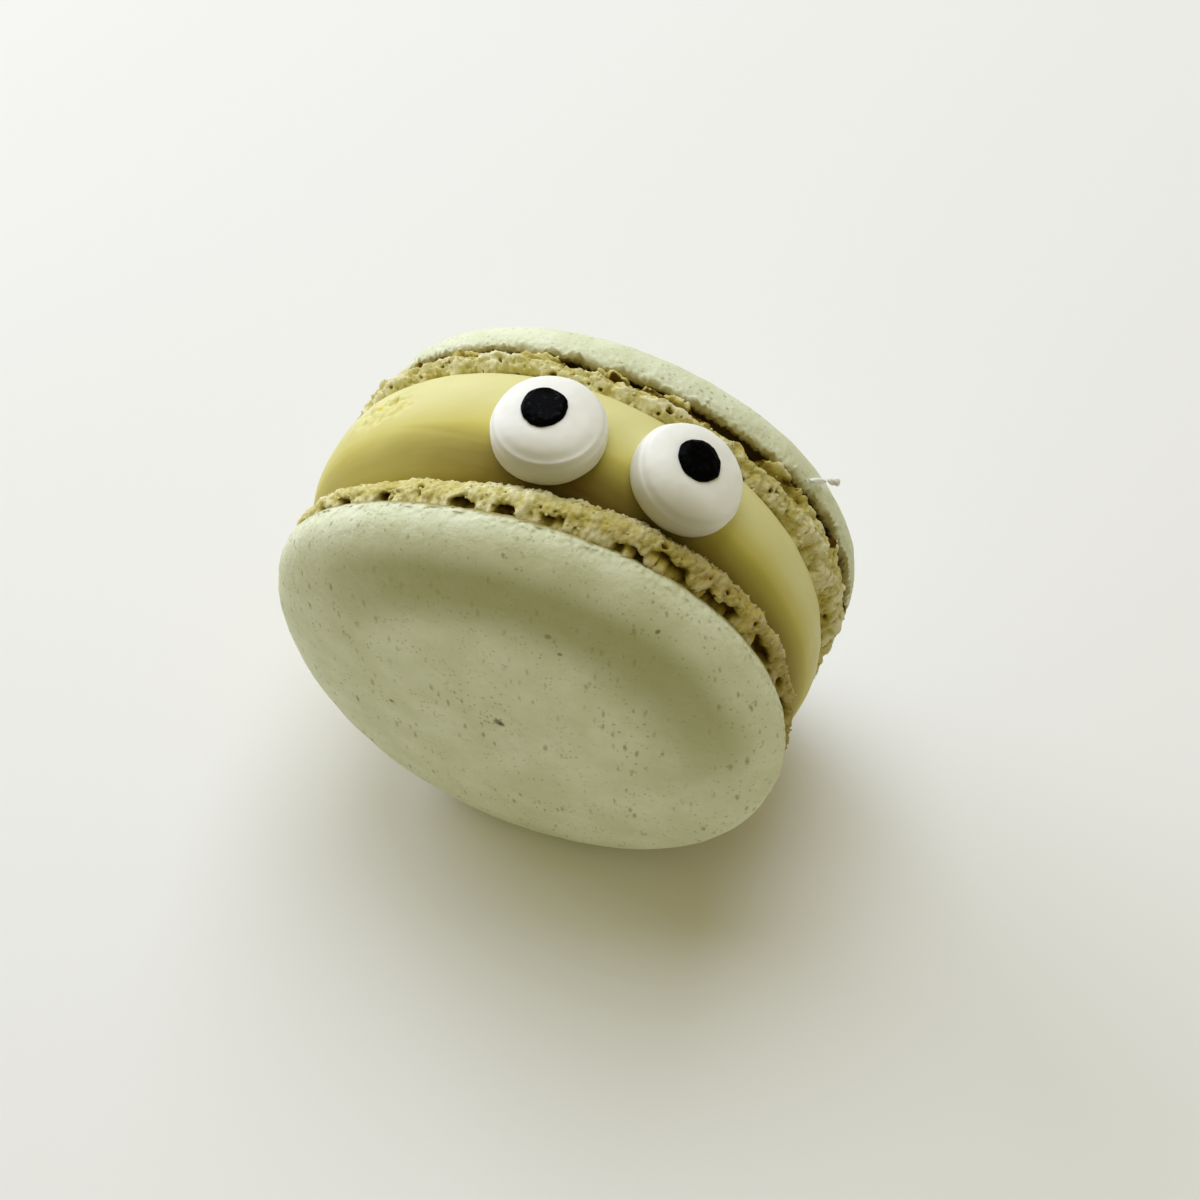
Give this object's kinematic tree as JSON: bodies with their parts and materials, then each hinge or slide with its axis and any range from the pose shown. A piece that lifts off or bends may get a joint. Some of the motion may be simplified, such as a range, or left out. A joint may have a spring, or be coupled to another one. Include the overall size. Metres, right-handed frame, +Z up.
{
  "type": "french macaron with candy eyes",
  "caption": "Round sandwich biscuit of almond shells with ruffled feet and a soft filling, standing on its edge with candy eyes on the filling's rim.",
  "frame": {"origin": "on the surface the macaron stands on, under the middle of its bounding box", "axes": "+Z up; the macaron's own round axis lies along Y, with the speckled front shell facing -Y; +X to the right of someone facing the front shell"},
  "size_m": [0.0488, 0.0332, 0.0518],
  "materials": {
    "almond_shell": "matte baked almond meringue, pale sage green with fine darker specks, porous cream foot",
    "ganache": "smooth waxy olive-yellow cream, soft satin",
    "eye_candy_white": "pressed white icing, satin",
    "eye_candy_black": "dried black icing, slightly wrinkled and glossy"
  },
  "bodies": {
    "root": {"shell_front": "almond_shell", "shell_rear": "almond_shell", "filling": "ganache", "eye_disc_left": "eye_candy_white", "eye_disc_right": "eye_candy_white", "eye_pupil_left": "eye_candy_black", "eye_pupil_right": "eye_candy_black"}
  },
  "joints": []
}
